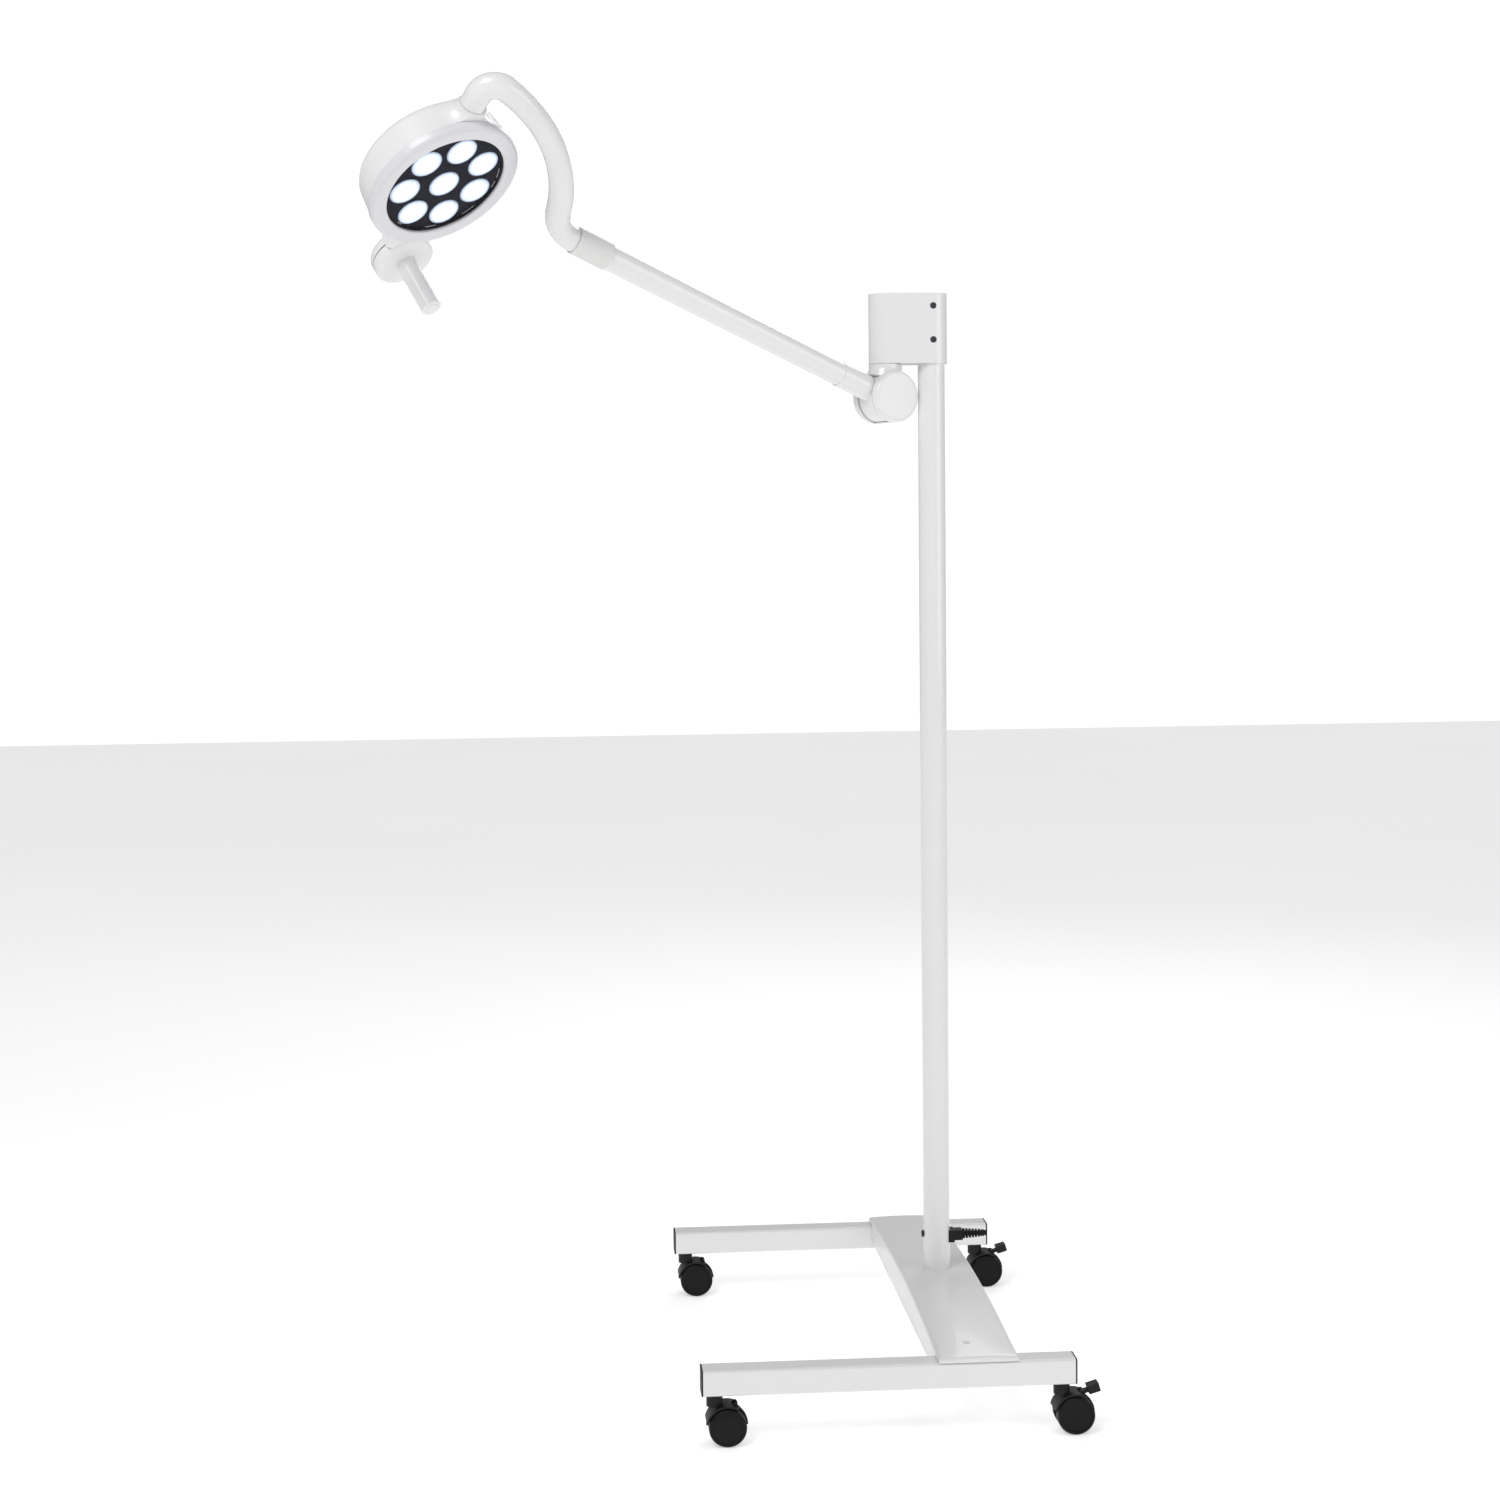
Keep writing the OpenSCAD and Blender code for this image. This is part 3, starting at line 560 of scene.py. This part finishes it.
def makeRim():
    # front ring: small step over the body, straight side, large round at the front outer edge,
    # almost level face, small round into the window opening
    k = rimLook
    s, q = k["round"], k["innerRound"]
    low = k["seat"] - k["step"]
    profile = [(k["inner"], k["back"]), (k["ledge"], k["back"]), (k["ledge"], low),
               (k["outer"] - 0.0006, low), (k["outer"], k["seat"])]
    profile += arcPoints(k["outer"] - s, k["face"] - s, s, 0, 90, 12)
    profile += [(k["inner"] + q + 0.006, k["face"] - 0.0002)]
    profile += arcPoints(k["inner"] + q, k["face"] - 0.0004 - q, q, 90, 180, 7)
    profile = np.array(profile + [profile[0]])
    t = np.linspace(0, 2 * np.pi, 192, endpoint=False)
    r, h = profile[:, :1], profile[:, 1:]
    rings = np.stack([r * np.cos(t), r * np.sin(t), h + 0 * t], -1)
    n, m, _ = rings[:-1].shape
    # the last ring joins the first, so the profile is closed
    last = (n - 1) * m
    faces = gridFaces(n, m, True) + [[last + j, last + (j + 1) % m, (j + 1) % m, j] for j in range(m)]
    ob = meshObject("rimRing", put(rings[:-1], lampPlace).reshape(-1, 3), faces, None, 40)
    dress(ob, "bezelWhite", "head", "bezel_white", "lamp_rim")


lensSet = {"radius": 0.0238, "ring": 0.064, "count": 7, "base": 0.022, "edge": 0.0276, "dome": 0.0010,
           "spin": 0.9, "steps": 64}


def makeLenses():
    # a dome on a short wall: height = edge + dome (1 - q^2); uv is the disc laid flat
    k = lensSet
    m = k["steps"]
    spots = [(0.0, 0.0)] + [(k["ring"] * math.cos(math.pi + a), k["ring"] * math.sin(math.pi + a))
                            for a in np.arange(k["count"]) * 2 * math.pi / k["count"]]
    q = np.linspace(0.02, 1, 12)
    t = np.linspace(0, 2 * np.pi, m, endpoint=False)
    allPoints, allFaces, allUv = [], [], []
    for n, (cx, cy) in enumerate(spots):
        r = np.concatenate([[1.0], q[::-1]])[:, None] * k["radius"]
        z = np.concatenate([[k["base"]], k["edge"] + k["dome"] * (1 - q[::-1] ** 2)])[:, None]
        rings = np.stack([cx + r * np.cos(t), cy + r * np.sin(t), z + 0 * t], -1)
        rows = rings.shape[0]
        base = n * rows * m
        allFaces += gridFaces(rows, m, True, base)
        allFaces += [list(range(base + m - 1, base - 1, -1)), list(range(base + (rows - 1) * m, base + rows * m))]
        allPoints.append(rings.reshape(-1, 3))
        turn = t + k["spin"] * n
        flat = np.stack([r * np.cos(turn), r * np.sin(turn)], -1) / k["radius"]
        allUv.append((0.5 + 0.5 * flat).reshape(-1, 2))
    ob = meshObject("litLenses", put(np.concatenate(allPoints), lampPlace), allFaces, np.concatenate(allUv), 50)
    dress(ob, "litLens", "head", "lens", "lenses")


plateReflectionLook = {"radius": 0.0895, "width": 0.0008, "height": 0.02706, "rise": 0.0003,
            "spans": ((6, 17), (45, 59), (85, 93), (97, 110), (-30, -24))}


def makePlateReflectionArcs():
    # thin white arcs near the plate's edge paint the reflections on the dark plate; each is a slice of a flat ring,
    # closed underneath
    k = plateReflectionLook
    rows = 9
    points, faces = [], []
    for first, last in k["spans"]:
        t = np.radians(np.linspace(first, last, rows))[:, None]
        r = k["radius"] + k["width"] * np.array([[0, 1, 1, 0]])
        z = k["height"] + k["rise"] * np.array([[0, 0, 1, 1]])
        base = len(points) * rows * 4
        end = base + (rows - 1) * 4
        faces += gridFaces(rows, 4, True, base)
        faces += [[base + 3, base + 2, base + 1, base], [end, end + 1, end + 2, end + 3]]
        points.append(np.stack([r * np.cos(t), r * np.sin(t), z + 0 * t], -1).reshape(-1, 3))
    ob = meshObject("plateReflectionArcs", put(np.concatenate(points), lampPlace), faces, None, 30)
    dress(ob, "whitePlastic", "head", "white_plastic")


podLook = {"radius": 0.047, "back": -0.030, "split": -0.0095, "front": 0.005, "corner": 0.015, "frontEdge": 0.004,
           "seam": 0.0020, "step": 0.0016, "core": 0.0005}


def makePod():
    # two round shells with a gap between them, where a black disc paints the shade in the seam: the rear
    # has a quarter-round back edge, the front a small round face edge; each profile is carried round the handle's
    # axis
    k = podLook
    r, s, core = k["radius"], k["corner"], k["core"]
    upper, lower, inside = k["split"], k["split"] - k["seam"], r - k["step"]
    rear = [(core, k["back"])] + arcPoints(r - s, k["back"] + s, s, -90, 0, 12)
    rear += [(r, lower), (inside, lower + 0.0002), (core, lower + 0.0002)]
    dress(turned("podRearShell", rear, podPlace, 128), "whitePlastic", "head", "white_plastic", "pod_rear")
    f = k["frontEdge"]
    front = [(core, upper - 0.0004), (inside, upper - 0.0004), (r, upper + 0.0002), (r, k["front"] - f)]
    front += arcPoints(r - f, k["front"] - f, f, 0, 90, 8)[1:] + [(core, k["front"])]
    dress(turned("podFrontShell", front, podPlace, 128), "whitePlastic", "head", "white_plastic", "pod_front")
    # a black disc set deep in the seam paints the shade that falls in the gap between the two shells
    deep = inside - 0.0001
    gap = [(core, lower - 0.001), (deep, lower - 0.001), (deep, upper + 0.001), (core, upper + 0.001)]
    dress(turned("podSeamShade", gap, podPlace, 96), "blackRubberAndSeamShade", "head", "black_rubber")


linkLook = {"near": 0.098, "far": 0.158, "waist": 0.034, "spread": 0.006, "low": -0.0275, "high": 0.0035,
            "middle": 0.131, "half": 0.031, "power": 0.42}


def makeLink():
    # bridge between lamp and pod: at each station a rounded block whose half-width is
    # waist + spread s^2, s running from -1 to 1; the section is a squircle |y/w|^4.8 + |z/h|^4.8 = 1
    k = linkLook
    x = np.linspace(k["near"], k["far"], 26)
    s = (x - k["middle"]) / k["half"]
    w = k["waist"] + k["spread"] * np.clip(s, -1, 1) ** 2
    t = np.linspace(0, 2 * np.pi, 72, endpoint=False)
    c, d = np.cos(t), np.sin(t)
    yy = np.sign(c) * np.abs(c) ** k["power"]
    zz = np.sign(d) * np.abs(d) ** k["power"]
    mid, tall = (k["low"] + k["high"]) / 2, (k["high"] - k["low"]) / 2
    tall = tall * (1 - 0.02 * (1 - np.clip(s, -1, 1) ** 2))
    rings = np.stack([x[:, None] + 0 * t, w[:, None] * yy, mid + tall[:, None] * zz], -1)
    a = podTurn
    spin = np.array([[math.cos(a), math.sin(a), 0], [-math.sin(a), math.cos(a), 0], [0, 0, 1]])
    ob = tubeMesh("podLink", put(rings @ spin, lampPlace), sharp=60)
    dress(ob, "whitePlastic", "head", "white_plastic")


gripLook = {"radius": 0.0155, "base": 0.0042, "end": 0.0982, "round": 0.0022, "bore": 0.0106, "fillet": 0.003,
            "depth": 0.0108, "core": 0.0005}
buttonLook = {"radius": 0.0104, "back": 0.0905, "side": 0.0975, "front": 0.0989, "round": 0.001}


def makeGrip():
    # plain round grip with a small fillet at the pod and a rolled far edge round the button's bore
    k = gripLook
    r, f = k["radius"], k["fillet"]
    foot, end, s = k["base"] + 0.0008, k["end"], k["round"]
    profile = [(k["core"], k["base"]), (r + f, foot)]
    profile += [(r + f - f * math.sin(a), foot + f * (1 - math.cos(a))) for a in np.radians([20, 45, 70, 90])]
    profile += [(r, end - s)] + arcPoints(r - s, end - s, s, 0, 90, 8)[1:]
    profile += [(k["bore"], end), (k["bore"], end - k["depth"]), (k["core"], end - k["depth"])]
    dress(turned("gripTube", profile, podPlace, 96), "whitePlastic", "head", "white_plastic", "handle_grip")
    b = buttonLook
    s = b["round"]
    button = [(k["core"], b["back"]), (b["radius"], b["back"]), (b["radius"], b["side"])]
    button += arcPoints(b["radius"] - s, b["front"] - s, s, 0, 90, 5) + [(k["core"], b["front"] + 0.00005)]
    dress(turned("buttonCap", button, podPlace, 96), "whitePlastic", "button", "white_plastic", "handle_button")


makeLampHousing()
makeRim()
makeLenses()
makePlateReflectionArcs()
makePod()
makeLink()
makeGrip()
print("lamp head made")

# ---------- caster wheels ----------

wheelLook = {"radius": 0.029, "inner": 0.0057, "outer": 0.0227, "tread": 0.0035, "dish": 0.0010, "bore": 0.003,
             "steps": 80}


def makeWheels():
    # one wheel's profile round the axle: flat inner side, tread with rolled edges,
    # a shallow ring step and a faintly domed cover disc outside
    k = wheelLook
    r, s, out, dish, steps = k["radius"], k["tread"], k["outer"], k["dish"], k["steps"]
    profile = [(k["bore"], k["inner"])] + arcPoints(r - s * 0.5, k["inner"] + s * 0.5, s * 0.5, -90, 0, 5)
    profile += arcPoints(r - s, out - s, s, 0, 80, 9)
    profile += [(r - s - 0.0012, out - 0.0001), (r - s - 0.0016, out - dish), (r * 0.6, out - dish * 0.6),
                (r * 0.3, out - dish * 0.35), (0.0005, out - dish * 0.3)]
    for name in ("front_left", "front_right", "rear_left", "rear_right"):
        centre = np.array(joints[name + "_spin"]["pos_m"])
        t = np.linspace(0, 2 * np.pi, steps, endpoint=False)
        prof = np.array(profile)
        rr, hh = prof[:, :1], prof[:, 1:]
        points, faces = [], []
        for n, side in enumerate((1, -1)):
            ring = np.stack([rr * np.cos(t), side * (hh + 0 * t), rr * np.sin(t)], -1) + centre
            m = ring.shape[0]
            base, top = n * m * steps, (n + 1) * m * steps
            own = gridFaces(m, steps, True, base)
            own += [list(range(base + steps - 1, base - 1, -1)), list(range(top - steps, top))]
            faces += [f[::-1] for f in own] if side == 1 else own
            points.append(ring.reshape(-1, 3))
        title = name.replace("_l", "L").replace("_r", "R") + "Wheels"
        ob = meshObject(title, np.concatenate(points), faces, None, 35)
        dress(ob, "blackTread", name + "_wheel_pair", "wheel_tread", name + "_wheels")


makeWheels()
print("wheels made")

# ---------- floor ----------


def makeFloor():
    # flat square a hair under the wheels, a pale even tone with a breath of noise
    size = studio["floor"]
    g = np.linspace(-size, size, 3)
    x, y = np.meshgrid(g, g, indexing="ij")
    points = np.stack([x, y, np.full_like(x, -studio["floorDrop"])], -1)
    ob = meshObject("floor", points.reshape(-1, 3), gridFaces(3, 3, False))
    f = Finish("floorTone")
    tone = f.ramp(f.noise(0.6, 2), [(0.2, (0.86, 0.86, 0.86)), (0.8, (0.88, 0.88, 0.88))])
    f.set(Base_Color=tone, Roughness=0.9, Emission_Color=tone, Emission_Strength=studio["floorGlow"])
    ob.data.materials.append(f.mat)
    if (ob.data.polygons[0].normal.z) < 0:
        ob.data.flip_normals()


makeFloor()
print("scene made")
